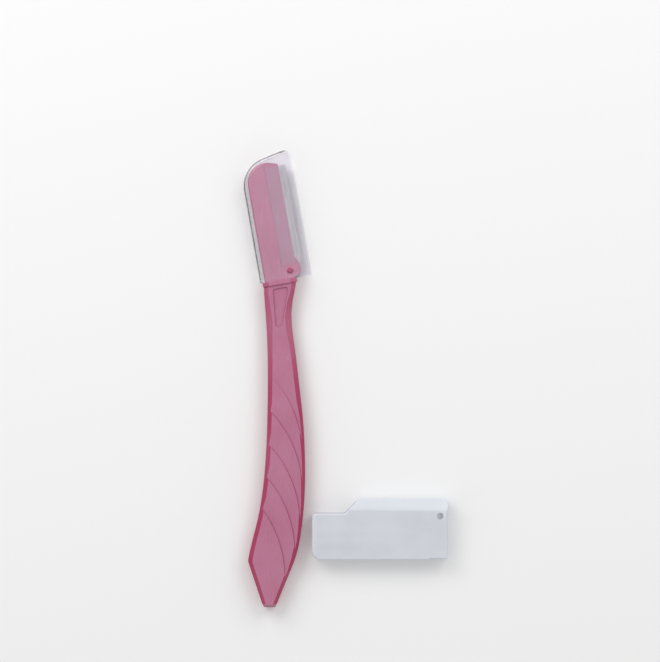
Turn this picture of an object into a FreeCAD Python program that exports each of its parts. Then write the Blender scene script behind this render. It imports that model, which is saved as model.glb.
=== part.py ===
"""Eyebrow razor: a bowed moulded handle with a guarded blade, a clear cap and a loose precision cover.

The razor lies on its back. +X points to the blade side, +Y along the handle towards the head, +Z up out of
the front face. The origin is on the flat of the back, in the middle of the widest section of the tail.
"""
import FreeCAD
import Part
import Sketcher
import math
import os

# Driving dimensions. Lengths are millimetres, angles are degrees.
SIZES = {
    # handle, seen from the front
    "tail_length": 15.6,
    "tail_width": 15.7,
    "tip_width": 5.0,
    "tip_shift": 0.5,
    "tip_bevel": 1.2,
    "tip_bevel_width": 1.25,
    "handle_length": 94.9,
    "waist_width": 8.7,
    "bow": 4.9,
    # handle, through its thickness
    "grip_thickness": 6.4,
    "waist_thickness": 4.6,
    "grip_bevel_width": 1.5,
    "waist_bevel_width": 2.2,
    "bevel_height": 1.3,
    "crown": 0.4,
    "neck_ramp_start": 49.0,
    "neck_ramp_end": 76.0,
    "neck_ramp_radius": 60.0,
    # sweeping grooves of the grip
    "swirl_radius": 38.0,
    "swirl_sweep_angle": 50.0,
    "swirl_depth": 0.5,
    "swirl_width": 3.4,
    "swirl_wall_run": 0.3,
    "swirl_tail_start": 5.0,
    # collar and recessed neck panel
    "collar_length": 1.5,
    "collar_thickness": 5.8,
    "collar_overhang": 0.9,
    "collar_width": 11.8,
    "collar_ledge": 0.35,
    "panel_drop": 1.2,
    "panel_length": 13.0,
    "panel_width": 5.4,
    "panel_end_width": 2.2,
    "panel_end_shift": 2.9,
    "panel_corner": 0.8,
    "panel_depth": 0.5,
    # head, which leans to the spine side
    "spine_root": 2.1,
    "head_lean_angle": 10.0,
    "head_width": 11.3,
    "head_length": 39.0,
    "head_thickness": 4.2,
    "head_tip_fall_angle": 20.0,
    "spine_radius": 7.0,
    "spine_edge_radius": 0.8,
    "heel_reach": 1.5,
    "heel_start": 1.6,
    "heel_end": 4.2,
    "heel_slope_length": 3.0,
    "heel_corner": 1.0,
    "heel_hollow": 2.0,
    "land_start": 6.5,
    "land_step": 0.25,
    "land_edge_thickness": 1.5,
    "pip_across": 9.2,
    "pip_along": 2.6,
    "pip_radius": 0.95,
    "pip_height": 0.5,
    "pip_round": 0.3,
    # blade
    "blade_back": 6.7,
    "blade_reveal": 2.3,
    "blade_thickness": 0.3,
    "blade_start": 5.0,
    "blade_tip_gap": 0.5,
    "grind_width": 0.7,
    "edge_thickness": 0.04,
    "anchor_across": 8.8,
    "anchor_inset": 5.0,
    "anchor_radius": 0.8,
    # guard folded over the blade
    "guard_sheet": 0.15,
    "guard_leg": 1.6,
    "guard_nose_gap": 0.06,
    "guard_end_gap": 0.4,
    "guard_pitch": 1.0,
    "guard_slot": 0.45,
    "guard_rail": 0.6,
    # cap
    "cap_wall": 0.9,
    "cap_face_clearance": 0.2,
    "cap_spine_clearance": 0.7,
    "cap_blade_clearance": 1.5,
    "cap_tip_room": 4.0,
    "cap_stop_gap": 0.1,
    "cap_rise_angle": 13.0,
    "cap_shoulder_ease": 1.4,
    "cap_tip_radius": 2.5,
    "cap_edge_radius": 1.1,
    "taper_width": 4.0,
    "taper_drop": 1.1,
    "pip_clearance": 0.15,
    "lead_in_length": 1.0,
    "lead_in_depth": 0.3,
    # precision cover, which takes the head as the cap does
    "cover_spine_room": 5.8,
    "cover_blade_clearance": 0.25,
    "cover_tip_room": 6.3,
    "cover_tip_corner": 1.5,
    "cover_spine_corner": 3.2,
    "cover_mouth_corner": 0.8,
    "cover_edge_radius": 0.7,
    "notch_reveal": 1.2,
    "notch_foot": 35.0,
    "notch_corner": 1.2,
    "relief_length": 6.2,
    "relief_depth": 0.4,
    "post_radius": 0.7,
    "post_gap": 0.2,
    "post_along": 2.9,
    "cover_gap": 2.4,
    "cover_along": 0.5,
    # one overrun for every cut that passes out of a solid
    "overrun": 2.0,
}

# Sections of the grip from the widest one to the neck. Each row gives the place as a share of handle_length,
# the width between waist_width and tail_width, the sideways bow as a share of bow, and the thickness between
# waist_thickness and grip_thickness.
GRIP_SECTION_SHARES = (
    (0.000, 1.00, 0.01, 1.0),
    (0.037, 1.07, 0.18, 1.0),
    (0.142, 0.96, 0.61, 1.0),
    (0.258, 0.80, 0.89, 1.0),
    (0.385, 0.65, 1.00, 1.0),
    (0.516, 0.48, 0.98, 1.0),
    (0.640, 0.27, 0.86, 0.7),
    (0.760, 0.10, 0.71, 0.3),
    (0.864, 0.00, 0.54, 0.0),
    (0.940, 0.14, 0.53, 0.25),
)
# How many sections of the grip start a sweeping groove, and how far inside the right edge of its section each
# one starts, as a share of the bevel there.
SWIRL_COUNT = 5
SWIRL_INSET_SHARE = 0.5
# Places of the plastic plugs along the blade, as shares of the length between the end ones.
ANCHOR_SHARES = (0.0, 0.5, 1.0)
# How near to a face or a line the middle of an edge lies that counts as on it, as a share of the size there.
TOUCH_SHARE = 0.01
# The precision cover lies across the razor.
QUARTER_TURN_ANGLE = 90


class Formula:
    """A number together with the spreadsheet expression that gives it."""

    def __init__(self, text, value):
        self.text = text
        self.value = value

    def __add__(self, other):
        return Formula(f"({self.text} + {text_of(other)})", self.value + value_of(other))

    def __radd__(self, other):
        return Formula(f"({text_of(other)} + {self.text})", value_of(other) + self.value)

    def __sub__(self, other):
        return Formula(f"({self.text} - {text_of(other)})", self.value - value_of(other))

    def __rsub__(self, other):
        return Formula(f"({text_of(other)} - {self.text})", value_of(other) - self.value)

    def __mul__(self, other):
        return Formula(f"({self.text} * {text_of(other)})", self.value * value_of(other))

    __rmul__ = __mul__

    def __truediv__(self, other):
        return Formula(f"({self.text} / {text_of(other)})", self.value / value_of(other))

    def __neg__(self):
        return Formula(f"(-{self.text})", -self.value)


def text_of(item):
    """The expression of a formula or of a plain number."""
    return item.text if isinstance(item, Formula) else repr(item)


def value_of(item):
    """The value of a formula or of a plain number."""
    return item.value if isinstance(item, Formula) else item


def sine(angle):
    return Formula(f"sin({angle.text} * 1 deg)", math.sin(math.radians(angle.value)))


def cosine(angle):
    return Formula(f"cos({angle.text} * 1 deg)", math.cos(math.radians(angle.value)))


def tangent(angle):
    return Formula(f"tan({angle.text} * 1 deg)", math.tan(math.radians(angle.value)))


class Sizes:
    """Reads the spreadsheet's cells as formulas, by alias."""

    def __init__(self, sheet):
        self.sheet = sheet

    def __getattr__(self, alias):
        return Formula(f"sizes.{alias}", float(getattr(self.sheet, alias)))


def make_sheet(doc):
    """Write every driving dimension into a spreadsheet under its alias."""
    sheet = doc.addObject("Spreadsheet::Sheet", "sizes")
    for row, (alias, value) in enumerate(SIZES.items(), start=1):
        sheet.set(f"A{row}", alias.replace("_", " "))
        sheet.set(f"B{row}", str(value))
        sheet.setAlias(f"B{row}", alias)
    doc.recompute()
    return sheet


def bind(item, path, formula):
    """Tie one property of an object to its expression."""
    item.setExpression(path, text_of(formula))


def place(item, prefix, base, axis, angle):
    """Tie a placement to formulas: its base, and its turn about a fixed axis."""
    rotation = FreeCAD.Rotation(FreeCAD.Vector(*axis), value_of(angle))
    spot = FreeCAD.Placement(FreeCAD.Vector(*[value_of(part) for part in base]), rotation)
    setattr(item, prefix, spot)
    for name, part in zip("xyz", base):
        if isinstance(part, Formula):
            bind(item, f"{prefix}.Base.{name}", part)
    if isinstance(angle, Formula):
        bind(item, f"{prefix}.Rotation.Angle", angle)


def origin_feature(body, role):
    """The plane or axis of a body's origin that has this role."""
    return next(item for item in body.Origin.OriginFeatures if item.Role == role)


def new_body(doc, name):
    return doc.addObject("PartDesign::Body", name)


def new_sketch(body, name, plane, base=(0, 0, 0), axis=(0, 0, 1), angle=0):
    """A sketch on an origin plane of its body, moved and turned within that plane's own frame."""
    sketch = body.newObject("Sketcher::SketchObject", name)
    sketch.AttachmentSupport = [(origin_feature(body, plane), "")]
    sketch.MapMode = "FlatFace"
    place(sketch, "AttachmentOffset", base, axis, angle)
    return sketch


def hold_point(sketch, geometry, end, name, x, y):
    """Dimension one point of a sketch from the sketch's origin."""
    for kind, part in (("DistanceX", x), ("DistanceY", y)):
        number = sketch.addConstraint(Sketcher.Constraint(kind, -1, 1, geometry, end, value_of(part)))
        label = f"{name}_{kind[-1].lower()}"
        sketch.renameConstraint(number, label)
        bind(sketch, f"Constraints.{label}", part)


def draw_circle(sketch, name, x, y, radius):
    """A dimensioned circle."""
    circle = Part.Circle(FreeCAD.Vector(value_of(x), value_of(y), 0), FreeCAD.Vector(0, 0, 1), radius.value)
    geometry = sketch.addGeometry(circle)
    hold_point(sketch, geometry, 3, name, x, y)
    number = sketch.addConstraint(Sketcher.Constraint("Radius", geometry, radius.value))
    sketch.renameConstraint(number, f"{name}_radius")
    bind(sketch, f"Constraints.{name}_radius", radius)


def corner_arc(before, corner, after, radius):
    """Where a corner's rounding starts and ends, its arc, and whether the loop turns left there."""
    arriving = (corner - before).normalize()
    leaving = (after - corner).normalize()
    turn = math.atan2(arriving.cross(leaving).z, arriving.dot(leaving))
    reach = radius * math.tan(abs(turn) / 2)
    start = corner - arriving * reach
    end = corner + leaving * reach
    side = math.copysign(1, turn)
    centre = start + FreeCAD.Vector(-arriving.y, arriving.x, 0) * (radius * side)
    first, last = (start, end) if turn > 0 else (end, start)
    angles = [math.atan2(point.y - centre.y, point.x - centre.x) for point in (first, last)]
    circle = Part.Circle(centre, FreeCAD.Vector(0, 0, 1), radius)
    return start, end, Part.ArcOfCircle(circle, angles[0], angles[1]), turn > 0


def draw_outline(sketch, corners):
    """A closed outline through corners (x, y) or (x, y, radius), every one dimensioned from the origin."""
    points = [FreeCAD.Vector(value_of(row[0]), value_of(row[1]), 0) for row in corners]
    count = len(corners)
    starts, ends, arcs = list(points), list(points), [None] * count
    for index, row in enumerate(corners):
        if len(row) == 3:
            starts[index], ends[index], arc, leftward = corner_arc(
                points[index - 1], points[index], points[(index + 1) % count], row[2].value
            )
            arcs[index] = (arc, leftward)
    following = starts[1:] + starts[:1]
    lines = [sketch.addGeometry(Part.LineSegment(end, start)) for end, start in zip(ends, following)]
    for index, row in enumerate(corners):
        arriving, leaving, name = lines[index - 1], lines[index], f"corner{index}"
        if arcs[index] is None:
            sketch.addConstraint(Sketcher.Constraint("Coincident", arriving, 2, leaving, 1))
            hold_point(sketch, leaving, 1, name, row[0], row[1])
            continue
        arc, leftward = arcs[index]
        curve = sketch.addGeometry(arc)
        first, last = (1, 2) if leftward else (2, 1)
        sketch.addConstraint(Sketcher.Constraint("Tangent", arriving, 2, curve, first))
        sketch.addConstraint(Sketcher.Constraint("Tangent", curve, last, leaving, 1))
        number = sketch.addConstraint(Sketcher.Constraint("Radius", curve, row[2].value))
        sketch.renameConstraint(number, f"{name}_radius")
        bind(sketch, f"Constraints.{name}_radius", row[2])
        spot = sketch.addGeometry(Part.Point(points[index]), True)
        sketch.addConstraint(Sketcher.Constraint("PointOnObject", spot, 1, arriving))
        sketch.addConstraint(Sketcher.Constraint("PointOnObject", spot, 1, leaving))
        hold_point(sketch, spot, 1, name, row[0], row[1])


def rectangle(left, low, right, high):
    """The corners of an upright rectangle."""
    return [(left, low), (right, low), (right, high), (left, high)]


def pad(body, sketch, name, length, symmetric=False, reverse=False):
    feature = body.newObject("PartDesign::Pad", name)
    feature.Profile = sketch
    feature.SideType = "Symmetric" if symmetric else "One side"
    feature.Reversed = reverse
    bind(feature, "Length", length)
    return feature


def pocket(body, sketch, name, length=None, symmetric=False, reverse=False):
    """A cut of one length, or right through where no length is given."""
    feature = body.newObject("PartDesign::Pocket", name)
    feature.Profile = sketch
    feature.SideType = "Symmetric" if symmetric else "One side"
    feature.Reversed = reverse
    if length is None:
        feature.Type = "ThroughAll"
    else:
        bind(feature, "Length", length)
    return feature


def loft(body, sections, name, ruled):
    feature = body.newObject("PartDesign::AdditiveLoft", name)
    feature.Profile = sections[0]
    feature.Sections = sections[1:]
    feature.Ruled = ruled


def mirror(body, originals, name):
    """Repeat features on the other face, across the razor's middle plane."""
    feature = body.newObject("PartDesign::Mirrored", name)
    feature.Originals = originals
    feature.MirrorPlane = (origin_feature(body, "XY_Plane"), [""])
    body.Tip = feature


def fillet(doc, body, name, radius, wanted):
    """Round the edges of the body so far whose middle point passes the test."""
    doc.recompute()
    base = body.Tip
    names = []
    for number, edge in enumerate(base.Shape.Edges, start=1):
        middle = edge.valueAt((edge.FirstParameter + edge.LastParameter) / 2)
        if wanted(middle):
            names.append(f"Edge{number}")
    feature = body.newObject("PartDesign::Fillet", name)
    feature.Base = (base, names)
    bind(feature, "Radius", radius)


class HeadFrame:
    """The frame of the head: u across from the spine to the blade, v along from the cap's mouth."""

    def __init__(self, size):
        self.size = size
        self.lean = size.head_lean_angle

    def point(self, across, along):
        """The place of (u, v) in the razor's own frame."""
        sin_lean, cos_lean = sine(self.lean), cosine(self.lean)
        x = across * cos_lean - along * sin_lean - self.size.spine_root
        y = across * sin_lean + along * cos_lean + self.size.handle_length
        return x, y

    def section_sketch(self, body, name, along):
        """A sketch across the head at one place along it, its x being u."""
        x, y = self.point(0 * self.lean, along)
        return new_sketch(body, name, "XZ_Plane", (x, 0, -y), (0, 1, 0), self.lean)

    def plan_sketch(self, body, name, height=0):
        """A sketch seen from the front, its x being u and its y being v."""
        x, y = self.point(0 * self.lean, 0 * self.lean)
        return new_sketch(body, name, "XY_Plane", (x, y, height), (0, 0, 1), self.lean)

    def place_body(self, body):
        """Set a body that is modelled in this frame on the razor."""
        x, y = self.point(0 * self.lean, 0 * self.lean)
        place(body, "Placement", (x, y, self.size.grip_thickness / 2), (0, 0, 1), self.lean)

    def seen_from(self, point):
        """The (u, v) of a point of the razor, as numbers."""
        lean = math.radians(self.lean.value)
        dx = point.x + self.size.spine_root.value
        dy = point.y - self.size.handle_length.value
        return dx * math.cos(lean) + dy * math.sin(lean), dy * math.cos(lean) - dx * math.sin(lean)


class GripSection:
    """One bevelled cross-section of the handle, worked out from the driving dimensions."""

    def __init__(self, size, shares):
        along, width, bow, thick = shares
        self.along = along * size.handle_length
        half_width = (size.waist_width + width * (size.tail_width - size.waist_width)) / 2
        centre = bow * size.bow
        self.left = centre - half_width
        self.right = centre + half_width
        self.half = (size.waist_thickness + thick * (size.grip_thickness - size.waist_thickness)) / 2
        self.crown = size.crown
        self.bevel = size.waist_bevel_width + thick * (size.grip_bevel_width - size.waist_bevel_width)
        self.bevel_height = size.bevel_height


def octagon(left, right, half, bevel, bevel_height, crown):
    """A section with bevels on all four edges, which run on past the flats by the crown."""
    top = half + crown
    side = half - bevel_height
    inset = bevel + crown * bevel / bevel_height
    return [
        (right - inset, -top),
        (right, -side),
        (right, side),
        (right - inset, top),
        (left + inset, top),
        (left, side),
        (left, -side),
        (left + inset, -top),
    ]


def section_at(body, name, along, corners):
    """A section sketch square to the length of the handle."""
    sketch = new_sketch(body, name, "XZ_Plane", (0, 0, -along), (0, 1, 0), 0)
    draw_outline(sketch, corners)
    return sketch


def add_grip(body, size, frame, sections):
    """The bowed grip and neck, left proud of their flats."""
    sketches = [
        section_at(
            body,
            f"grip_section{index}",
            row.along,
            octagon(row.left, row.right, row.half, row.bevel, row.bevel_height, row.crown),
        )
        for index, row in enumerate(sections)
    ]
    left = -size.collar_overhang
    right = left + size.collar_width
    half = size.collar_thickness / 2
    neck_end = frame.section_sketch(body, "neck_end", -size.collar_length)
    ledge = size.collar_ledge
    draw_outline(
        neck_end,
        octagon(
            left + ledge, right - ledge, half - ledge, size.waist_bevel_width, size.bevel_height, size.crown
        ),
    )
    loft(body, sketches + [neck_end], "grip", ruled=False)


def add_collar(body, size, frame):
    """The collar that stops the cap."""
    left = -size.collar_overhang
    half = size.collar_thickness / 2
    collar = frame.section_sketch(body, "collar_section", -size.collar_length)
    draw_outline(
        collar,
        octagon(left, left + size.collar_width, half, size.waist_bevel_width, size.bevel_height, 0 * half),
    )
    pad(body, collar, "collar", size.collar_length - size.cap_stop_gap, reverse=True)


def add_tail(body, size, widest):
    """The pointed tail, with straight edges and a blunt bevelled tip."""
    shoulder = section_at(
        body,
        "tail_shoulder",
        widest.along,
        octagon(widest.left, widest.right, widest.half, widest.bevel, widest.bevel_height, widest.crown),
    )
    half_tip = size.tip_width / 2
    shift = size.tip_shift
    tip_bevel = size.tip_bevel_width
    left, right = -half_tip - shift, half_tip - shift
    near_tip = section_at(
        body,
        "tail_near_tip",
        size.tip_bevel - size.tail_length,
        octagon(left, right, widest.half, tip_bevel, widest.bevel_height, widest.crown),
    )
    half_end = half_tip - size.tip_bevel / 2
    half_thick = widest.half - widest.bevel_height
    tip = section_at(
        body,
        "tail_tip",
        -size.tail_length,
        octagon(
            -half_end - shift, half_end - shift, half_thick, tip_bevel / 2, widest.bevel_height / 2, 0 * shift
        ),
    )
    loft(body, [shoulder, near_tip, tip], "tail", ruled=True)


def add_flats(body, size):
    """Skim the front and the back: flat along the grip, down a ramp, and flat again along the neck."""
    grip, neck = size.grip_thickness / 2, size.waist_thickness / 2
    low = -size.tail_length - size.overrun
    high = size.handle_length + size.overrun
    sketch = new_sketch(body, "flat_profile", "YZ_Plane")
    draw_outline(
        sketch,
        [
            (low, grip),
            (size.neck_ramp_start, grip, size.neck_ramp_radius),
            (size.neck_ramp_end, neck, size.neck_ramp_radius),
            (high, neck),
            (high, grip + size.overrun),
            (low, grip + size.overrun),
        ],
    )
    flat = pocket(body, sketch, "front_flat", symmetric=True)
    mirror(body, [flat], "back_flat")


def add_swirls(body, size, sections):
    """Sweeping grooves: a steep wall on an arc, with a floor that rises away from it."""
    front = size.grip_thickness / 2
    starts = [(size.tail_width / 2 - 2 * size.grip_bevel_width, -size.swirl_tail_start)]
    for row in sections[1 : SWIRL_COUNT + 1]:
        starts.append((row.right - SWIRL_INSET_SHARE * row.bevel, row.along))
    rise = size.overrun / size.swirl_depth
    inner = size.swirl_radius - size.swirl_wall_run
    outer = size.swirl_radius + size.swirl_width
    grooves = []
    for index, (across, along) in enumerate(starts):
        centre = (across - size.swirl_radius, 0, -along)
        sketch = new_sketch(body, f"swirl_section{index}", "XZ_Plane", centre)
        draw_outline(
            sketch,
            [
                (size.swirl_radius, front - size.swirl_depth),
                (outer + rise * size.swirl_width, front + size.overrun),
                (inner - rise * size.swirl_wall_run, front + size.overrun),
            ],
        )
        groove = body.newObject("PartDesign::Groove", f"swirl{index}")
        groove.Profile = sketch
        groove.ReferenceAxis = (sketch, ["V_Axis"])
        bind(groove, "Angle", size.swirl_sweep_angle)
        grooves.append(groove)
    mirror(body, grooves, "back_swirls")


def add_panel(body, size, frame):
    """The recessed panel of the neck, which narrows away from the collar."""
    middle = size.collar_width / 2 - size.collar_overhang
    top = -size.collar_length - size.panel_drop
    low = top - size.panel_length
    half, half_end = size.panel_width / 2, size.panel_end_width / 2
    end = middle - size.panel_end_shift
    sketch = frame.plan_sketch(body, "panel_outline", size.waist_thickness / 2 - size.panel_depth)
    draw_outline(
        sketch,
        [
            (end - half_end, low, size.panel_corner),
            (end + half_end, low, size.panel_corner),
            (middle + half, top, size.panel_corner),
            (middle - half, top, size.panel_corner),
        ],
    )
    panel = pocket(body, sketch, "front_panel", reverse=True)
    mirror(body, [panel], "back_panel")


def add_head(doc, body, size, frame):
    """The head: a thick rounded spine, a land that thins towards the blade, and a heel below the blade."""
    width, length = size.head_width, size.head_length
    heel = width + size.heel_reach
    root = size.collar_width - 2 * size.collar_overhang
    root_depth = size.collar_length - size.collar_ledge
    sketch = frame.plan_sketch(body, "head_outline")
    draw_outline(
        sketch,
        [
            (0 * width, -root_depth),
            (root, -root_depth),
            (root, 0 * width),
            (heel, size.heel_start, size.heel_corner),
            (heel, size.heel_end, size.heel_corner),
            (width, size.heel_end + size.heel_slope_length, size.heel_hollow),
            (width, length),
            (0 * width, length + width * tangent(size.head_tip_fall_angle), size.spine_radius),
        ],
    )
    pad(body, sketch, "head", size.head_thickness, symmetric=True)
    half = size.head_thickness.value / 2

    def on_spine(middle):
        across, along = frame.seen_from(middle)
        on_face = abs(abs(middle.z) - half) < TOUCH_SHARE * half
        return on_face and along > 0 and across < TOUCH_SHARE * width.value

    fillet(doc, body, "spine_round", size.spine_edge_radius, on_spine)
    land = frame.section_sketch(body, "land_section", size.heel_end)
    outer = width + size.heel_reach + size.overrun
    high = size.head_thickness / 2
    deep = high - size.land_step
    edge = size.land_edge_thickness / 2
    slope = (deep - edge) / (width - size.land_start)
    draw_outline(
        land,
        [
            (size.land_start, deep),
            (outer, deep - slope * (outer - size.land_start)),
            (outer, high + size.overrun),
            (size.land_start, high + size.overrun),
        ],
    )
    cut = pocket(body, land, "front_land")
    mirror(body, [cut], "back_land")


def add_blade_seat(body, size, frame):
    """The slot that the plastic leaves round the blade, with plugs through the blade's holes."""
    sketch = frame.plan_sketch(body, "blade_slot_outline")
    draw_outline(
        sketch,
        rectangle(size.blade_back, size.blade_start, blade_edge(size) + size.overrun, blade_end(size)),
    )
    draw_anchors(sketch, size)
    pocket(body, sketch, "blade_slot", size.blade_thickness, symmetric=True)


def add_pips(doc, body, size, frame):
    """The round pips on both faces of the heel that the cap and the cover snap over."""
    sketch = frame.plan_sketch(body, "pip_outline", size.head_thickness / 2 - size.land_step)
    draw_circle(sketch, "pip", size.pip_across, size.pip_along, size.pip_radius)
    pip = pad(body, sketch, "front_pip", size.pip_height + size.land_step)
    mirror(body, [pip], "back_pip")
    top = size.head_thickness.value / 2 + size.pip_height.value

    def on_pip_rim(middle):
        return abs(abs(middle.z) - top) < TOUCH_SHARE * top and frame.seen_from(middle)[1] > 0

    fillet(doc, body, "pip_round", size.pip_round, on_pip_rim)


def make_handle(doc, size, frame, sections):
    """The one-piece pink moulding: tail, grip, neck, collar and head."""
    body = new_body(doc, "handle")
    place(body, "Placement", (0, 0, size.grip_thickness / 2), (0, 0, 1), 0)
    add_grip(body, size, frame, sections)
    add_tail(body, size, sections[0])
    add_flats(body, size)
    add_swirls(body, size, sections)
    add_panel(body, size, frame)
    add_collar(body, size, frame)
    add_head(doc, body, size, frame)
    add_pips(doc, body, size, frame)
    add_blade_seat(body, size, frame)
    return body


def blade_edge(size):
    """How far across the head the cutting edge lies."""
    return size.head_width + size.blade_reveal


def blade_end(size):
    """How far along the head the blade ends."""
    return size.head_length - size.blade_tip_gap


def draw_anchors(sketch, size):
    """The row of round holes through which the plastic holds the blade."""
    first = size.blade_start + size.anchor_inset
    run = blade_end(size) - size.anchor_inset - first
    for index, share in enumerate(ANCHOR_SHARES):
        draw_circle(sketch, f"anchor{index}", size.anchor_across, first + share * run, size.anchor_radius)


def make_blade(doc, size, frame):
    """The stainless strip, ground from both faces to its edge."""
    body = new_body(doc, "blade")
    frame.place_body(body)
    half, tip = size.blade_thickness / 2, size.edge_thickness / 2
    edge = blade_edge(size)
    section = new_sketch(body, "blade_section", "XZ_Plane", (0, 0, -size.blade_start))
    draw_outline(
        section,
        [
            (size.blade_back, -half),
            (edge - size.grind_width, -half),
            (edge, -tip),
            (edge, tip),
            (edge - size.grind_width, half),
            (size.blade_back, half),
        ],
    )
    pad(body, section, "strip", blade_end(size) - size.blade_start, reverse=True)
    holes = new_sketch(body, "anchor_outline", "XY_Plane")
    draw_anchors(holes, size)
    pocket(body, holes, "anchor_holes", size.blade_thickness + size.overrun, symmetric=True)
    return body


def make_guard(doc, size, frame):
    """The thin comb folded over the edge, with a slot between each two teeth."""
    body = new_body(doc, "blade_guard")
    frame.place_body(body)
    inner = size.blade_thickness / 2
    outer = inner + size.guard_sheet
    fold = blade_edge(size) + size.guard_nose_gap
    nose = fold + size.guard_sheet
    back = nose - size.guard_leg
    start = size.heel_end + size.heel_slope_length + size.guard_end_gap
    length = blade_end(size) - size.guard_end_gap - start
    section = new_sketch(body, "guard_section", "XZ_Plane", (0, 0, -start))
    draw_outline(
        section,
        [
            (back, -outer),
            (nose - size.guard_sheet, -outer),
            (nose, -inner),
            (nose, inner),
            (nose - size.guard_sheet, outer),
            (back, outer),
            (back, inner),
            (fold, inner),
            (fold, -inner),
            (back, -inner),
        ],
    )
    pad(body, section, "fold", length, reverse=True)
    slot = new_sketch(body, "slot_outline", "XY_Plane", (0, start, 0))
    first = size.guard_pitch - size.guard_slot / 2
    draw_outline(
        slot,
        rectangle(back + size.guard_rail, first, nose + size.overrun, first + size.guard_slot),
    )
    cut = pocket(body, slot, "slot", size.blade_thickness + size.overrun, symmetric=True)
    comb = body.newObject("PartDesign::LinearPattern", "slots")
    comb.Originals = [cut]
    comb.Direction = (origin_feature(body, "Y_Axis"), [""])
    comb.Mode = "Spacing"
    bind(comb, "Offset", size.guard_pitch)
    comb.setExpression("Occurrences", f"floor({length.text} / {size.guard_pitch.text}) - 1")
    body.Tip = comb
    return body


def add_taper(body, name, start, outer, half, size):
    """Thin a slab towards the blade side, on both faces."""
    slope = size.taper_drop / size.taper_width
    sketch = new_sketch(body, f"{name}_taper_section", "XZ_Plane")
    draw_outline(
        sketch,
        [
            (start, half),
            (outer, half - slope * (outer - start)),
            (outer, half),
        ],
    )
    cut = pocket(body, sketch, f"{name}_front_taper", symmetric=True)
    mirror(body, [cut], f"{name}_back_taper")


def add_pip_channel(body, name, across, size):
    """The way from the mouth along which the pips reach their holes, with room over them."""
    half = size.pip_radius + size.pip_clearance
    sketch = new_sketch(body, f"{name}_channel_outline", "XY_Plane")
    draw_outline(sketch, rectangle(across - half, -size.overrun, across + half, size.pip_along))
    height = size.head_thickness / 2 + size.pip_height + size.cap_face_clearance / 2
    pad(body, sketch, f"{name}_channel", 2 * height, symmetric=True)


def add_lead_in(body, name, left, right, half, size):
    """The wider mouth of a hollow."""
    sketch = new_sketch(body, f"{name}_lead_in_outline", "XY_Plane")
    draw_outline(sketch, rectangle(left - size.lead_in_depth, -size.overrun, right, size.lead_in_length))
    pad(body, sketch, f"{name}_lead_in", 2 * (half + size.lead_in_depth), symmetric=True)


def add_pip_holes(body, name, across, size):
    """The holes in both walls that the pips snap into."""
    sketch = new_sketch(body, f"{name}_hole_outline", "XY_Plane")
    draw_circle(sketch, "hole", across, size.pip_along, size.pip_radius + size.pip_clearance)
    pocket(body, sketch, f"{name}_holes", size.grip_thickness + size.overrun, symmetric=True)


def rim_test(half):
    """A test for the edges round the two faces of a slab, all but the ones at the mouth."""

    def on_rim(middle):
        touch = TOUCH_SHARE * half
        return abs(abs(middle.z) - half) < touch and middle.y > touch

    return on_rim


def hollow(doc, name, shell, core):
    """A moulding: its outer body less the core that leaves its hollow."""
    part = doc.addObject("Part::Cut", name)
    part.Base = shell
    part.Tool = core
    return part


def make_cap(doc, size, frame):
    """The clear cap: a flat shell with a slanted top, a tapered blade side and snap holes near its mouth."""
    wall = size.cap_wall
    left = -(size.cap_spine_clearance + wall)
    right = blade_edge(size) + size.guard_nose_gap + size.guard_sheet + size.cap_blade_clearance + wall
    top = size.head_length + size.cap_tip_room + wall
    rise = tangent(size.cap_rise_angle)
    shoulder = size.spine_radius + size.cap_spine_clearance + size.cap_shoulder_ease
    half = size.grip_thickness / 2
    taper = right - size.taper_width

    shell = new_body(doc, "cap_shell")
    frame.place_body(shell)
    outline = new_sketch(shell, "cap_outline", "XY_Plane")
    draw_outline(
        outline,
        [
            (left, 0 * wall),
            (right, 0 * wall),
            (right, top, size.cap_tip_radius),
            (left, top - (right - left) * rise, shoulder + wall),
        ],
    )
    pad(shell, outline, "cap_slab", size.grip_thickness, symmetric=True)
    fillet(doc, shell, "cap_edge_round", size.cap_edge_radius, rim_test(half.value))
    add_taper(shell, "cap", taper, right + size.overrun, half, size)
    add_pip_holes(shell, "cap", size.pip_across, size)

    core = new_body(doc, "cap_core")
    frame.place_body(core)
    inside = new_sketch(core, "cap_hollow_outline", "XY_Plane")
    drop = wall / cosine(size.cap_rise_angle)
    core_half = half - wall
    draw_outline(
        inside,
        [
            (left + wall, -size.overrun),
            (right - wall, -size.overrun),
            (right - wall, top - wall * rise - drop, size.cap_tip_radius - wall),
            (left + wall, top - (right - left - wall) * rise - drop, shoulder),
        ],
    )
    pad(core, inside, "cap_hollow", 2 * core_half, symmetric=True)
    add_taper(core, "cap_core", taper, right, core_half, size)
    add_pip_channel(core, "cap", size.pip_across, size)
    add_lead_in(core, "cap", left + wall, taper, core_half, size)
    return hollow(doc, "cap", shell, core)


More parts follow.
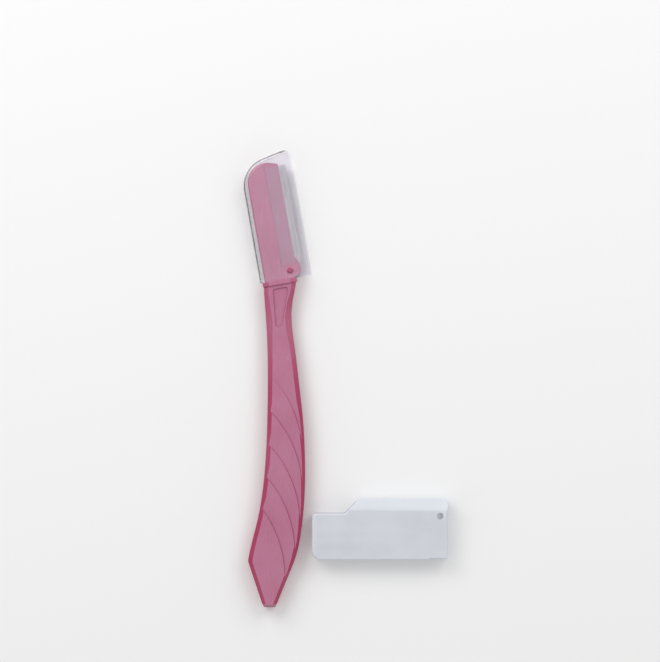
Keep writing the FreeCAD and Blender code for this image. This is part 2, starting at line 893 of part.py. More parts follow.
def make_cover(doc, size, belly_edge):
    """The precision cover, lying beside the handle: a flat shell whose notch bares the tip of the blade."""
    wall = size.cap_wall
    half = size.grip_thickness / 2
    room = size.cover_spine_room
    edge = room + blade_edge(size) + size.guard_nose_gap + size.guard_sheet
    width = edge + size.cover_blade_clearance + wall
    length = size.head_length + size.cover_tip_room + wall
    floor = room + size.head_width - size.notch_reveal
    taper = width - size.taper_width
    zero = 0 * wall
    spot = (belly_edge + size.cover_gap + length, size.cover_along, half)

    shell = new_body(doc, "cover_shell")
    place(shell, "Placement", spot, (0, 0, 1), QUARTER_TURN_ANGLE)
    outline = new_sketch(shell, "cover_outline", "XY_Plane")
    draw_outline(
        outline,
        [
            (size.relief_depth, zero),
            (width, zero, size.cover_mouth_corner),
            (width, size.notch_foot - (width - floor), size.notch_corner),
            (floor, size.notch_foot, size.notch_corner),
            (floor, length, size.cover_tip_corner),
            (zero, length, size.cover_spine_corner),
            (zero, size.relief_length),
            (size.relief_depth, size.relief_length),
        ],
    )
    pad(shell, outline, "cover_slab", size.grip_thickness, symmetric=True)
    fillet(doc, shell, "cover_edge_round", size.cover_edge_radius, rim_test(half.value))
    add_taper(shell, "cover", taper, width + size.overrun, half, size)
    add_pip_holes(shell, "cover", room + size.pip_across, size)

    core = new_body(doc, "cover_core")
    place(core, "Placement", spot, (0, 0, 1), QUARTER_TURN_ANGLE)
    inside = new_sketch(core, "cover_hollow_outline", "XY_Plane")
    core_half = half - wall
    draw_outline(
        inside,
        [
            (wall, -size.overrun),
            (width - wall, -size.overrun),
            (width - wall, length - wall, size.cover_tip_corner - wall),
            (wall, length - wall, size.cover_spine_corner - wall),
        ],
    )
    pad(core, inside, "cover_hollow", 2 * core_half, symmetric=True)
    add_taper(core, "cover_core", taper, width, core_half, size)
    add_pip_channel(core, "cover", room + size.pip_across, size)
    post = new_sketch(core, "cover_post_outline", "XY_Plane")
    draw_circle(post, "post", room - size.post_gap - size.post_radius, size.post_along, size.post_radius)
    pocket(core, post, "cover_post", 2 * core_half + size.overrun, symmetric=True)
    return hollow(doc, "precision_cover", shell, core)


def check(doc, pieces):
    """Stop where any object failed or any piece is missing or broken."""
    for item in doc.Objects:
        bad = [state for state in item.State if state in ("Invalid", "Error")]
        if bad:
            raise RuntimeError(f"{item.Name} is {bad}")
    for piece in pieces:
        if piece.Shape.isNull() or not piece.Shape.isValid() or len(piece.Shape.Solids) != 1:
            raise RuntimeError(f"{piece.Label} is not one valid solid")


def main():
    doc = FreeCAD.newDocument("eyebrow_razor")
    size = Sizes(make_sheet(doc))
    frame = HeadFrame(size)
    sections = [GripSection(size, shares) for shares in GRIP_SECTION_SHARES]
    belly = max(sections, key=lambda row: row.right.value)
    pieces = [
        make_handle(doc, size, frame, sections),
        make_blade(doc, size, frame),
        make_guard(doc, size, frame),
        make_cap(doc, size, frame),
        make_cover(doc, size, belly.right),
    ]
    doc.recompute()
    check(doc, pieces)
    os.makedirs("parts", exist_ok=True)
    for piece in pieces:
        piece.Shape.exportStep(os.path.join("parts", f"{piece.Label}.step"))


main()
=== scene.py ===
"""Looks of the eyebrow razor: pink moulding, steel, clear cap, milky cover, a pale floor and soft light."""

import logging
import math
from collections.abc import Callable
from dataclasses import dataclass
from enum import Enum

import bmesh
import bpy
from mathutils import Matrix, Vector


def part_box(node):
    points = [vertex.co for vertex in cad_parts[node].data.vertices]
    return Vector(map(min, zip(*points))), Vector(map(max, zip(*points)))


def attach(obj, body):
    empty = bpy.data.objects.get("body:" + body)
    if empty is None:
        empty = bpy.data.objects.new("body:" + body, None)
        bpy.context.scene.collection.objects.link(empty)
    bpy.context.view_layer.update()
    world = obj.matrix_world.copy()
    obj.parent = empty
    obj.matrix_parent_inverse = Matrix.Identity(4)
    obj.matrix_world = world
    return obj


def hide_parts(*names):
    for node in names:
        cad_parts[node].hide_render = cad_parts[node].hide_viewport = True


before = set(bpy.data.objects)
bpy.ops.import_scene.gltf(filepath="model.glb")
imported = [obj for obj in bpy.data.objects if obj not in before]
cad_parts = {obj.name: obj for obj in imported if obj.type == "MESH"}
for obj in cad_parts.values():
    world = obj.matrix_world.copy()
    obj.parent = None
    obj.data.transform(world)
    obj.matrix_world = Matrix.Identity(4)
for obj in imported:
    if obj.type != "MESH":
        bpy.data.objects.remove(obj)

Colour = tuple[float, float, float]
Place = tuple[float, float, float]
Range = tuple[float, float]
Socket = bpy.types.NodeSocket

LOG = logging.getLogger("razor")
MM = 0.001
# Height of the parting line, half-way up the grip
MIDDLE = 3.2 * MM
OPAQUE = 1.0
WHOLE: Range = (0.0, 1.0)
FALLING: Range = (1.0, 0.0)
FLATTENED: Place = (1.0, 1.0, 0.0)


class Body(str, Enum):
    """The bodies that the pieces move with."""

    RAZOR = "razor"
    CAP = "cap"
    COVER = "precision_cover"


class Slot(str, Enum):
    """The record's material slots."""

    PINK = "pink_plastic"
    BLADE = "blade_steel"
    GUARD = "guard_steel"
    CLEAR = "clear_plastic"
    MILKY = "frosted_plastic"


class Sum(str, Enum):
    """The sums that the finishes work out."""

    ADD = "ADD"
    SUBTRACT = "SUBTRACT"
    MULTIPLY = "MULTIPLY"
    MAXIMUM = "MAXIMUM"
    ABSOLUTE = "ABSOLUTE"


class Axis(str, Enum):
    """The parts of a point or a normal."""

    X = "X"
    Y = "Y"
    Z = "Z"


@dataclass(frozen=True)
class DisplayCurve:
    """How the values of a display stand for light."""

    full: int = 255
    knee: float = 0.04045
    slope: float = 12.92
    shift: float = 0.055
    power: float = 2.4

    def light(self, value: int) -> float:
        """The light that a value stands for.

        Args:
            value: The display's value, 0 to full.

        Returns:
            The light, 0 to 1.
        """
        share = value / self.full
        if share <= self.knee:
            return share / self.slope
        return ((share + self.shift) / (1 + self.shift)) ** self.power


def srgb(red: int, green: int, blue: int) -> Colour:
    """A linear colour from the display's red, green and blue."""
    return tuple(DisplayCurve().light(value) for value in (red, green, blue))


def dimmed(colour: Colour, share: float) -> Colour:
    """A colour with each part brought down to a share of itself."""
    return tuple(part * share for part in colour)


@dataclass(frozen=True)
class HeadFrame:
    """Where the leaning head stands. X runs across it from spine to blade, Y along it from the collar."""

    root: Place = (-2.1 * MM, 94.9 * MM, 0.0)
    lean: float = math.radians(10.0)

    def along(self, point: Vector) -> float:
        """How far a point lies along the head from the collar's upper face."""
        right, up = point.x - self.root[0], point.y - self.root[1]
        return up * math.cos(self.lean) - right * math.sin(self.lean)


@dataclass(frozen=True)
class Pattern:
    """A soft noise: its spots in a metre along each axis, and its finer layers."""

    spots: Place
    layers: float


class NodeBook:
    """Writes one material's node tree."""

    def __init__(self, name: str) -> None:
        """Start an empty material.

        Args:
            name: The material's name.
        """
        self.material = bpy.data.materials.new(name)
        self.material.use_nodes = True
        self.tree = self.material.node_tree
        self.tree.nodes.clear()

    def add(self, kind: str, **settings: object) -> bpy.types.Node:
        """Add a node.

        Args:
            kind: The node's type name.
            settings: Properties of the node to set.

        Returns:
            The new node.
        """
        node = self.tree.nodes.new(kind)
        for key, value in settings.items():
            setattr(node, key, value)
        return node

    def join(self, source: Socket, target: Socket) -> None:
        """Link two sockets."""
        self.tree.links.new(source, target)

    def feed(self, value: object, target: Socket) -> None:
        """Link a socket, or set a plain value on it.

        Args:
            value: Socket or plain value.
            target: The socket that takes it.
        """
        if isinstance(value, Socket):
            self.join(value, target)
        else:
            target.default_value = value

    def place(self) -> Socket:
        """The surface point in the razor's own frame, in metres."""
        return self.add("ShaderNodeTexCoord").outputs["Object"]

    def level(self) -> Socket:
        """How level the surface lies, from 0 on an upright wall to 1 on a flat."""
        normal = self.add("ShaderNodeTexCoord").outputs["Normal"]
        return self.math(Sum.ABSOLUTE, self.part_of(normal, Axis.Z))

    def on_head(self, place: Socket, head: HeadFrame) -> Socket:
        """A point in the head's own frame.

        Args:
            place: The point in the razor's frame.
            head: Where the head stands.

        Returns:
            The socket of the point across, along and above the head.
        """
        mapping = self.add("ShaderNodeMapping", vector_type="TEXTURE")
        mapping.inputs["Location"].default_value = head.root
        mapping.inputs["Rotation"].default_value = (0.0, 0.0, head.lean)
        self.join(place, mapping.inputs["Vector"])
        return mapping.outputs["Vector"]

    def stretched(self, place: Socket, scale: Place) -> Socket:
        """A point with each part multiplied.

        Args:
            place: The point.
            scale: What its parts are multiplied by.

        Returns:
            The new point's socket.
        """
        node = self.add("ShaderNodeVectorMath", operation="MULTIPLY")
        self.join(place, node.inputs[0])
        node.inputs[1].default_value = scale
        return node.outputs["Vector"]

    def distance(self, place: Socket, centre: Place) -> Socket:
        """How far a point lies from a centre.

        Args:
            place: The point.
            centre: The centre, in the same frame.

        Returns:
            The distance's socket.
        """
        node = self.add("ShaderNodeVectorMath", operation="DISTANCE")
        self.join(place, node.inputs[0])
        node.inputs[1].default_value = centre
        return node.outputs["Value"]

    def part_of(self, place: Socket, axis: Axis) -> Socket:
        """One part of a point.

        Args:
            place: The point.
            axis: Which part.

        Returns:
            The part's socket.
        """
        split = self.add("ShaderNodeSeparateXYZ")
        self.join(place, split.inputs[0])
        return split.outputs[axis.value]

    def math(self, operation: Sum, first: object, second: object = 0.0) -> Socket:
        """A sum on one or two values.

        Args:
            operation: The sum.
            first: Socket or number.
            second: Socket or number.

        Returns:
            The result's socket.
        """
        node = self.add("ShaderNodeMath", operation=operation.value)
        self.feed(first, node.inputs[0])
        self.feed(second, node.inputs[1])
        return node.outputs[0]

    def ramp(self, value: Socket, levels: Range, results: Range = WHOLE) -> Socket:
        """Map a range smoothly onto another.

        Args:
            value: The value to map.
            levels: Where the range starts and ends.
            results: What it becomes at the start and at the end.

        Returns:
            The result's socket.
        """
        node = self.add("ShaderNodeMapRange", interpolation_type="SMOOTHSTEP")
        self.join(value, node.inputs["Value"])
        node.inputs["From Min"].default_value, node.inputs["From Max"].default_value = levels
        node.inputs["To Min"].default_value, node.inputs["To Max"].default_value = results
        return node.outputs["Result"]

    def band(self, value: Socket, inside: Range, fade: float) -> Socket:
        """One inside a range and zero outside it.

        Args:
            value: The value to test.
            inside: Where the range starts and ends.
            fade: How far each end fades, to both sides.

        Returns:
            The share's socket.
        """
        low, high = inside
        rise = self.ramp(value, (low - fade, low + fade))
        fall = self.ramp(value, (high - fade, high + fade), FALLING)
        return self.math(Sum.MULTIPLY, rise, fall)

    def noise(self, place: Socket, pattern: Pattern) -> Socket:
        """Soft noise over a point.

        Args:
            place: The point.
            pattern: The noise's spots and layers.

        Returns:
            The socket of a share from 0 to 1.
        """
        node = self.add("ShaderNodeTexNoise")
        self.join(self.stretched(place, pattern.spots), node.inputs["Vector"])
        node.inputs["Scale"].default_value = 1.0
        node.inputs["Detail"].default_value = pattern.layers
        return node.outputs["Fac"]

    def blend(self, share: Socket, first: object, second: object) -> Socket:
        """Mix two colours.

        Args:
            share: How much of the second, 0 to 1.
            first: Colour or socket.
            second: Colour or socket.

        Returns:
            The mixed colour's socket.
        """
        node = self.add("ShaderNodeMix", data_type="RGBA")
        self.join(share, node.inputs["Factor"])
        for value, socket in ((first, node.inputs["A"]), (second, node.inputs["B"])):
            self.feed(value if isinstance(value, Socket) else (*value, OPAQUE), socket)
        return node.outputs["Result"]

    def bump(self, height: Socket, strength: float, depth: float) -> Socket:
        """A bumped normal.

        Args:
            height: The height, 0 to 1.
            strength: How much the bump counts.
            depth: How deep a height of 1 is.

        Returns:
            The normal's socket.
        """
        node = self.add("ShaderNodeBump")
        self.join(height, node.inputs["Height"])
        node.inputs["Strength"].default_value = strength
        node.inputs["Distance"].default_value = depth
        return node.outputs["Normal"]

    def shader(self, **values: object) -> Socket:
        """A Principled shader.

        Args:
            values: Input names with underscores for spaces, and their values or sockets.

        Returns:
            The shader's socket.
        """
        node = self.add("ShaderNodeBsdfPrincipled")
        for key, value in values.items():
            self.feed(value, node.inputs[key.replace("_", " ")])
        return node.outputs[0]

    def lamp_through(self, shader: Socket, shade: float) -> Socket:
        """Let lamps shine through a see-through shader.

        Args:
            shader: The shader that the eye sees.
            shade: The share of a lamp's light that each face lets by.

        Returns:
            The joined shader's socket.
        """
        clear = self.add("ShaderNodeBsdfTransparent")
        clear.inputs["Color"].default_value = (shade, shade, shade, OPAQUE)
        mix = self.add("ShaderNodeMixShader")
        self.join(self.add("ShaderNodeLightPath").outputs["Is Shadow Ray"], mix.inputs[0])
        self.join(shader, mix.inputs[1])
        self.join(clear.outputs[0], mix.inputs[2])
        return mix.outputs[0]

    def finish(self, shader: Socket) -> bpy.types.Material:
        """Close the tree with its output.

        Args:
            shader: The whole shader.

        Returns:
            The material.
        """
        output = self.add("ShaderNodeOutputMaterial")
        self.join(shader, output.inputs["Surface"])
        return self.material


@dataclass(frozen=True)
class PinkPlastic:
    """Glossy pink moulding with painted shade on its bevels, partly the translucent plastic's deeper tone at
    its edges, with the strip faint in its head.
    """

    face: Colour = srgb(186, 117, 146)
    # Deeper, darker pink: painted shade on the bevels and the pip, and the random deeper tone of the clouds
    edge: Colour = srgb(166, 36, 84)
    # Darker pink of the painted shade on the groove walls
    groove_shade: Colour = srgb(174, 92, 125)
    pale: Colour = srgb(214, 164, 186)
    steel_tint: Colour = srgb(160, 140, 156)
    face_slope: Range = (0.72, 0.98)
    groove_slope: Range = (0.44, 0.6)
    groove_fade: float = 0.03
    clouds: Pattern = Pattern((110.0, 110.0, 110.0), 3.0)
    cloud_levels: Range = (0.35, 0.75)
    cloud_depth: Range = (0.0, 0.14)
    flow: Pattern = Pattern((160.0, 40.0, 160.0), 1.0)
    flow_levels: Range = (0.4, 0.8)
    flow_depth: Range = (0.0, 0.07)
    strip_across: Range = (6.7 * MM, 11.3 * MM)
    strip_along: Range = (5.0 * MM, 38.5 * MM)
    strip_side_fade: float = 0.15 * MM
    strip_end_fade: float = 0.3 * MM
    strip_depth: float = 0.45
    pip_centre: Place = (9.2 * MM, 2.6 * MM, 0.0)
    pip_reach: Range = (0.95 * MM, 1.0 * MM)
    pip_shade: Range = (0.55, 0.0)
    scuffs: Pattern = Pattern((1800.0, 240.0, 1800.0), 2.0)
    scuff_levels: Range = (0.58, 0.8)
    gloss: Range = (0.27, 0.32)
    grain: Pattern = Pattern((2600.0, 2600.0, 2600.0), 2.0)
    grain_share: float = 0.1
    seam_reach: Range = (0.04 * MM, 0.12 * MM)
    relief_strength: float = 0.1
    relief_depth: float = 0.05 * MM
    glow: float = 0.08
    glow_colours: Colour = (1.0, 0.45, 0.55)
    glow_reach: float = 0.4 * MM
    coat: float = 0.3
    coat_roughness: float = 0.12
    bending: float = 1.49
    head: HeadFrame = HeadFrame()

    def body_colour(self, book: NodeBook, place: Socket) -> Socket:
        """Colour of the plastic: paler on flats, with painted shade on the bevels (partly the translucent
        plastic's deeper tone) and in the grooves, cloudy, with flow lines.

        Args:
            book: The material being written.
            place: The surface point.

        Returns:
            The colour's socket.
        """
        level = book.level()
        # Painted shade: steep bevels take the darker edge colour, partly the translucent plastic's own
        # deeper tone
        slope_shaded = book.blend(book.ramp(level, self.face_slope), self.edge, self.face)
        # Painted shade on the groove walls, found by their slope
        in_groove = book.band(level, self.groove_slope, self.groove_fade)
        shaded_in_grooves = book.blend(in_groove, slope_shaded, self.groove_shade)
        cloud = book.ramp(book.noise(place, self.clouds), self.cloud_levels, self.cloud_depth)
        cloudy = book.blend(cloud, shaded_in_grooves, self.edge)
        streak = book.ramp(book.noise(place, self.flow), self.flow_levels, self.flow_depth)
        return book.blend(streak, cloudy, self.pale)

    def head_colour(self, book: NodeBook, place: Socket, plain: Socket) -> Socket:
        """Colour with the head's marks: the strip that shows through the land, and painted shade that
        darkens the pips.

        Args:
            book: The material being written.
            place: The surface point.
            plain: The colour without the marks.

        Returns:
            The colour's socket.
        """
        on_head = book.on_head(place, self.head)
        across = book.band(book.part_of(on_head, Axis.X), self.strip_across, self.strip_side_fade)
        along = book.band(book.part_of(on_head, Axis.Y), self.strip_along, self.strip_end_fade)
        strip = book.math(Sum.MULTIPLY, book.math(Sum.MULTIPLY, across, along), self.strip_depth)
        tinted = book.blend(strip, plain, self.steel_tint)
        # Painted shade: a disc on the pip darkened towards the deeper edge colour
        from_pip = book.distance(book.stretched(on_head, FLATTENED), self.pip_centre)
        return book.blend(book.ramp(from_pip, self.pip_reach, self.pip_shade), tinted, self.edge)

    def relief(self, book: NodeBook, place: Socket) -> Socket:
        """The bumped normal of the fine grain and of the parting seam round the sides.

        Args:
            book: The material being written.
            place: The surface point.

        Returns:
            The normal's socket.
        """
        height = book.math(Sum.SUBTRACT, book.part_of(place, Axis.Z), MIDDLE)
        seam = book.ramp(book.math(Sum.ABSOLUTE, height), self.seam_reach, FALLING)
        grain = book.math(Sum.MULTIPLY, book.noise(place, self.grain), self.grain_share)
        return book.bump(book.math(Sum.ADD, grain, seam), self.relief_strength, self.relief_depth)

    def material(self) -> bpy.types.Material:
        """Build the finish.

        Returns:
            The material.
        """
        book = NodeBook("pink_moulding")
        place = book.place()
        shader = book.shader(
            Base_Color=self.head_colour(book, place, self.body_colour(book, place)),
            Roughness=book.ramp(book.noise(place, self.scuffs), self.scuff_levels, self.gloss),
            Normal=self.relief(book, place),
            Subsurface_Weight=self.glow,
            Subsurface_Radius=self.glow_colours,
            Subsurface_Scale=self.glow_reach,
            Coat_Weight=self.coat,
            Coat_Roughness=self.coat_roughness,
            IOR=self.bending,
        )
        return book.finish(shader)


@dataclass(frozen=True)
class BrushedSteel:
    """Steel with fine lines along the head."""

    name: str
    colour: Colour
    gloss: Range
    lines: Pattern = Pattern((7000.0, 90.0, 7000.0), 2.0)
    line_levels: Range = (0.3, 0.7)
    line_shade: float = 0.86
    gloss_levels: Range = (0.25, 0.75)
    line_strength: float = 0.06
    line_depth: float = 0.01 * MM
    head: HeadFrame = HeadFrame()

    def material(self) -> bpy.types.Material:
        """Build the finish.

        Returns:
            The material.
        """
        book = NodeBook(self.name)
        lines = book.noise(book.on_head(book.place(), self.head), self.lines)
        dark = dimmed(self.colour, self.line_shade)
        shader = book.shader(
            Base_Color=book.blend(book.ramp(lines, self.line_levels), dark, self.colour),
            Metallic=1.0,
            Roughness=book.ramp(lines, self.gloss_levels, self.gloss),
            Normal=book.bump(lines, self.line_strength, self.line_depth),
        )
        return book.finish(shader)


@dataclass(frozen=True)
class ClearPlastic:
    """Clear moulding with a little haze and fine rub marks along it."""

    colour: Colour = srgb(247, 245, 249)
    haze: Pattern = Pattern((160.0, 160.0, 160.0), 4.0)
    haze_levels: Range = (0.3, 0.7)
    haze_shade: float = 0.97
    haze_dulling: Range = (0.0, 0.03)
    rubs: Pattern = Pattern((2400.0, 130.0, 2400.0), 2.0)
    rub_levels: Range = (0.55, 0.8)
    rub_dulling: Range = (0.0, 0.1)
    rub_strength: float = 0.03
    rub_depth: float = 0.01 * MM
    roughness: float = 0.05
    through: float = 0.955
    bending: float = 1.47
    shade: float = 0.96
    head: HeadFrame = HeadFrame()

    def material(self) -> bpy.types.Material:
        """Build the finish.

        Returns:
            The material.
        """
        book = NodeBook("clear_moulding")
        place = book.place()
        haze = book.noise(place, self.haze)
        rubs = book.noise(book.on_head(place, self.head), self.rubs)
        hazy = book.ramp(haze, self.haze_levels, self.haze_dulling)
        dull = book.math(Sum.ADD, hazy, book.ramp(rubs, self.rub_levels, self.rub_dulling))
        dark = dimmed(self.colour, self.haze_shade)
        shader = book.shader(
            Base_Color=book.blend(book.ramp(haze, self.haze_levels), self.colour, dark),
            Roughness=book.math(Sum.ADD, dull, self.roughness),
            Transmission_Weight=self.through,
            Normal=book.bump(rubs, self.rub_strength, self.rub_depth),
            IOR=self.bending,
        )
        return book.finish(book.lamp_through(shader, self.shade))


@dataclass(frozen=True)
class MilkyPlastic:
    """Milky moulding that shows only a soft glow through its walls."""

    node: str
    colour: Colour = srgb(230, 232, 240)
    # Whiter colour of the painted highlight on the thick walls
    wall_highlight: Colour = srgb(237, 241, 248)
    wall: float = 1.6 * MM
    band: float = 3.7 * MM
    band_fade: float = 0.25 * MM
    clouds: Pattern = Pattern((130.0, 130.0, 130.0), 3.0)
    cloud_levels: Range = (0.3, 0.7)
    cloud_depth: Range = (0.0, 0.6)
    flow: Pattern = Pattern((30.0, 240.0, 240.0), 3.0)
    flow_levels: Range = (0.4, 0.75)
    flow_depth: Range = (0.0, 0.4)
    cloud_shade: float = 0.92
    grain: Pattern = Pattern((1700.0, 1700.0, 1700.0), 2.0)
    grain_levels: Range = (0.3, 0.7)
    gloss: Range = (0.29, 0.4)
    grain_strength: float = 0.05
    grain_depth: float = 0.02 * MM
    through: float = 0.22
    bending: float = 1.47
    shade: float = 0.5

    def walls(self, book: NodeBook, place: Socket) -> Socket:
        """Where the painted highlight goes, where the plastic is thick behind its face: the closed end, the
        foot and the band above the notch.

        Args:
            book: The material being written.
            place: The surface point.

        Returns:
            The share's socket.
        """
        low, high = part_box(self.node)
        along = book.part_of(place, Axis.X)
        up = book.part_of(place, Axis.Y)
        end = book.ramp(along, (low.x, low.x + self.wall), FALLING)
        foot = book.ramp(up, (low.y, low.y + self.wall), FALLING)
        level = high.y - self.band
        band = book.ramp(up, (level - self.band_fade, level + self.band_fade))
        return book.math(Sum.MAXIMUM, book.math(Sum.MAXIMUM, end, foot), band)

    def colours(self, book: NodeBook, place: Socket) -> Socket:
        """Colour of the plastic: cloudy, with flow lines along it, and a painted highlight that makes it
        whiter where it is thick.

        Args:
            book: The material being written.
            place: The surface point.

        Returns:
            The colour's socket.
        """
        cloud = book.ramp(book.noise(place, self.clouds), self.cloud_levels, self.cloud_depth)
        streak = book.ramp(book.noise(place, self.flow), self.flow_levels, self.flow_depth)
        milk = book.math(Sum.ADD, cloud, streak)
        thin = book.blend(milk, self.colour, dimmed(self.colour, self.cloud_shade))
        # Painted highlight: whiter on the closed end, the foot and the band above the notch
        return book.blend(self.walls(book, place), thin, self.wall_highlight)

    def material(self) -> bpy.types.Material:
        """Build the finish.

        Returns:
            The material.
        """
        book = NodeBook("milky_moulding")
        place = book.place()
        grain = book.noise(place, self.grain)
        shader = book.shader(
            Base_Color=self.colours(book, place),
            Roughness=book.ramp(grain, self.grain_levels, self.gloss),
            Transmission_Weight=self.through,
            Normal=book.bump(grain, self.grain_strength, self.grain_depth),
            IOR=self.bending,
        )
        return book.finish(book.lamp_through(shader, self.shade))


@dataclass(frozen=True)
class PaleFloor:
    """Matt pale floor."""

    grey: float = 0.93
    roughness: float = 0.9

    def material(self) -> bpy.types.Material:
        """Build the finish.

        Returns:
            The material.
        """
        book = NodeBook("pale_floor")
        colour = (self.grey, self.grey, self.grey, OPAQUE)
        return book.finish(book.shader(Base_Color=colour, Roughness=self.roughness))


@dataclass
class Moulding:
    """A piece that is dressed from the solid of the same name."""

    node: str
    name: str
    body: Body
    slot: Slot
    smooth_to: float = math.radians(20.0)
    edge_round: float = 0.0
    rounded: Callable[[Vector], bool] = lambda corner: True
    round_steps: int = 2
    sharp_from: float = math.radians(25.0)
    flat_join: float = math.radians(0.4)
    flat_weight: int = 100
    weld: float = 0.001 * MM

    def build(self) -> bpy.types.Object:
        """Copy the solid's mesh, weld its loose triangles, round its edges and shade it.

        Returns:
            The new object, active and alone in the selection.
        """
        bpy.ops.object.select_all(action="DESELECT")
        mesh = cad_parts[self.node].data.copy()
        mesh.name = self.name
        mesh.materials.clear()
        piece = bpy.data.objects.new(self.name, mesh)
        bpy.context.scene.collection.objects.link(piece)
        bpy.context.view_layer.objects.active = piece
        piece.select_set(True)
        bpy.ops.mesh.customdata_custom_splitnormals_clear()
        bpy.ops.object.mode_set(mode="EDIT")
        bpy.ops.mesh.select_all(action="SELECT")
        bpy.ops.mesh.remove_doubles(threshold=self.weld)
        bpy.ops.object.mode_set(mode="OBJECT")
        if self.edge_round > 0:
            self.round_edges(piece)
        self.shade(piece)
        return piece

    def round_edges(self, piece: bpy.types.Object) -> None:
        """Round the marked edges a little, as a moulding's are.

        Args:
            piece: The welded copy.
        """
        self.mark_edges(piece.data)
        rounding = piece.modifiers.new("soft_edges", "BEVEL")
        rounding.width = self.edge_round
        rounding.segments = self.round_steps
        rounding.use_clamp_overlap = False
        rounding.limit_method = "WEIGHT"
        bpy.ops.object.modifier_apply(modifier=rounding.name)

    def mark_edges(self, mesh: bpy.types.Mesh) -> None:
        """Join the flat triangles of the rounded zone and mark its outer edges; the rest stays crisp.

        Args:
            mesh: The welded copy's mesh.
        """
        shape = bmesh.new()
        shape.from_mesh(mesh)
        weights = shape.edges.layers.float.new("bevel_weight_edge")
        zone = {face for face in shape.faces if all(self.rounded(corner.co) for corner in face.verts)}
        inside = [edge for edge in shape.edges if zone.issuperset(edge.link_faces)]
        bmesh.ops.dissolve_limit(shape, angle_limit=self.flat_join, verts=[], edges=inside)
        for edge in shape.edges:
            outer = edge.is_convex and edge.calc_face_angle(0.0) > self.sharp_from
            edge[weights] = float(outer and all(self.rounded(corner.co) for corner in edge.verts))
        shape.to_mesh(mesh)
        shape.free()

    def shade(self, piece: bpy.types.Object) -> None:
        """Shade curves smoothly and flats evenly, with crisp lines between them.

        Args:
            piece: The piece, active and selected.
        """
        bpy.ops.object.shade_smooth_by_angle(angle=self.smooth_to)
        flats = piece.modifiers.new("even_flats", "WEIGHTED_NORMAL")
        flats.keep_sharp = True
        flats.weight = self.flat_weight
        bpy.ops.object.modifier_apply(modifier=flats.name)

    def dress(self, material: bpy.types.Material) -> None:
        """Build the piece, give it its finish and set it in place of the solid.

        Args:
            material: The finish.
        """
        piece = self.build()
        piece.data.materials.append(material)
        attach(piece, self.body.value)
        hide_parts(self.node)
        LOG.info("%s dressed, %d faces", self.name, len(piece.data.polygons))


@dataclass
class Handle:
    """The handle moulding: tail, grip, neck, collar and head in one."""

    edge_round: float = 0.1 * MM
    neck_from: float = 68.0 * MM
    collar_to: float = -0.15 * MM
    head: HeadFrame = HeadFrame()

    def is_rounded(self, corner: Vector) -> bool:
        """Whether edges are rounded here, on the neck and on the collar below its upper face."""
        return corner.y > self.neck_from and self.head.along(corner) < self.collar_to

    def make(self) -> None:
        """Build and dress the handle."""
        moulding = Moulding(
            "handle",
            "handle_moulding",
            Body.RAZOR,
            Slot.PINK,
            edge_round=self.edge_round,
            rounded=self.is_rounded,
        )
        moulding.dress(PinkPlastic().material())


@dataclass
class BladeUnit:
    """The steel strip in the head and the comb folded over its edge."""

    strip_colour: Colour = srgb(240, 238, 242)
    strip_gloss: Range = (0.24, 0.38)
    comb_colour: Colour = srgb(226, 224, 229)
    comb_gloss: Range = (0.28, 0.42)

    def make(self) -> None:
        """Build and dress the strip and the comb."""
        ground = BrushedSteel("ground_steel", self.strip_colour, self.strip_gloss)
        Moulding("blade", "blade_strip", Body.RAZOR, Slot.BLADE).dress(ground.material())
        pressed = BrushedSteel("pressed_steel", self.comb_colour, self.comb_gloss)
        Moulding("blade_guard", "guard_comb", Body.RAZOR, Slot.GUARD).dress(pressed.material())


@dataclass
class Cap:
    """The clear cap that pulls off the head."""

    smooth_to: float = math.radians(20.0)

    def make(self) -> None:
        """Build and dress the cap."""
        moulding = Moulding("cap", "cap_moulding", Body.CAP, Slot.CLEAR, self.smooth_to)
        moulding.dress(ClearPlastic().material())


@dataclass
class PrecisionCover:
    """The loose milky cover with the notched corner."""

    node: str = "precision_cover"
    smooth_to: float = math.radians(20.0)

    def make(self) -> None:
        """Build and dress the cover."""
        moulding = Moulding(self.node, "cover_moulding", Body.COVER, Slot.MILKY, self.smooth_to)
        moulding.dress(MilkyPlastic(self.node).material())


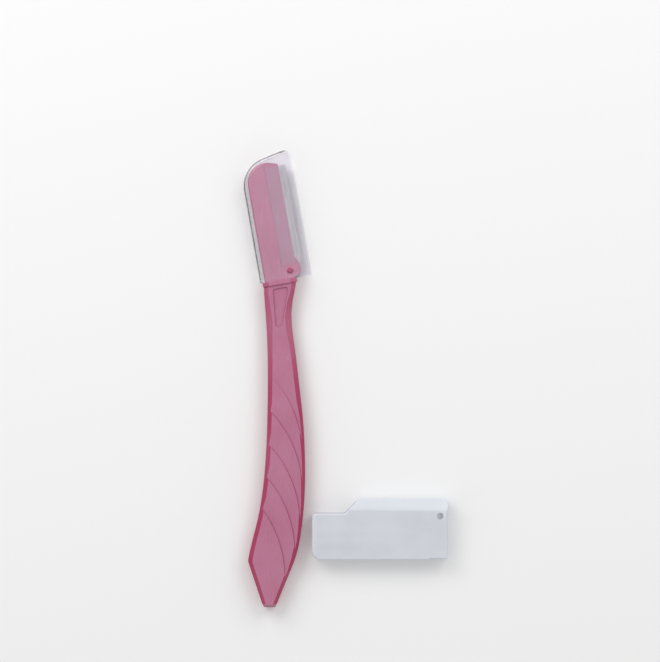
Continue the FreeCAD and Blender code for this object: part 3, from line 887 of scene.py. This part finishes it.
@dataclass
class Studio:
    """A pale floor, an even pale surrounding, two soft lamps at the sides and a camera straight above."""

    millimetres_per_pixel: float = 0.341
    image: tuple[int, int] = (660, 662)
    centre: tuple[float, float] = (20.08 * MM, 78.43 * MM)
    distance: float = 1.0
    sensor: float = 36.0
    floor_side: float = 3.0
    floor_drop: float = 0.05 * MM
    world_colour: Colour = (1.0, 1.0, 1.0)
    world_level: float = 0.6
    lamp_sides: tuple[float, float] = (0.7, 0.5)
    key_power: float = 3.6
    key_offset: Place = (-0.5, 0.55, 0.6)
    fill_power: float = 2.4
    fill_offset: Place = (0.5, 0.55, 0.6)

    def camera(self) -> None:
        """Set up the camera so that a pixel covers the same length as in the photograph."""
        data = bpy.data.cameras.new("camera")
        tall = self.image[1] * self.millimetres_per_pixel * MM
        data.sensor_width = self.sensor
        data.lens = self.sensor * self.distance / tall
        camera = bpy.data.objects.new("camera", data)
        camera.location = (*self.centre, MIDDLE + self.distance)
        bpy.context.scene.collection.objects.link(camera)
        bpy.context.scene.camera = camera

    def floor(self) -> None:
        """Lay a pale matt floor just under the razor."""
        bpy.ops.object.select_all(action="DESELECT")
        spot = (*self.centre, -self.floor_drop)
        bpy.ops.mesh.primitive_plane_add(size=self.floor_side, location=spot)
        floor = bpy.context.object
        floor.name = "floor"
        floor.data.materials.append(PaleFloor().material())

    def surrounding(self) -> None:
        """Light the scene evenly from all round."""
        world = bpy.data.worlds.new("studio")
        world.use_nodes = True
        background = world.node_tree.nodes["Background"]
        background.inputs["Color"].default_value = (*self.world_colour, OPAQUE)
        background.inputs["Strength"].default_value = self.world_level
        bpy.context.scene.world = world

    def lamp(self, name: str, power: float, offset: Place) -> None:
        """Hang one soft lamp that points at the middle of the picture.

        Args:
            name: The lamp's name.
            power: Its power in watts.
            offset: Its place from the middle of the picture.
        """
        data = bpy.data.lights.new(name, "AREA")
        data.shape = "RECTANGLE"
        data.size, data.size_y = self.lamp_sides
        data.energy = power
        lamp = bpy.data.objects.new(name, data)
        lamp.location = Vector((*self.centre, 0.0)) + Vector(offset)
        lamp.rotation_euler = (-Vector(offset)).to_track_quat("-Z", "Y").to_euler()
        bpy.context.scene.collection.objects.link(lamp)

    def build(self) -> None:
        """Set the whole stage, with both lamps clear of the camera's mirror image in the flats."""
        bpy.context.scene.view_settings.view_transform = "Standard"
        self.camera()
        self.floor()
        self.surrounding()
        self.lamp("key", self.key_power, self.key_offset)
        self.lamp("fill", self.fill_power, self.fill_offset)


def main() -> None:
    """Build the razor's pieces and its stage."""
    logging.basicConfig(level=logging.INFO)
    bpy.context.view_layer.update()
    Handle().make()
    BladeUnit().make()
    Cap().make()
    PrecisionCover().make()
    Studio().build()
    bpy.context.view_layer.update()


if __name__ == "__main__":
    main()
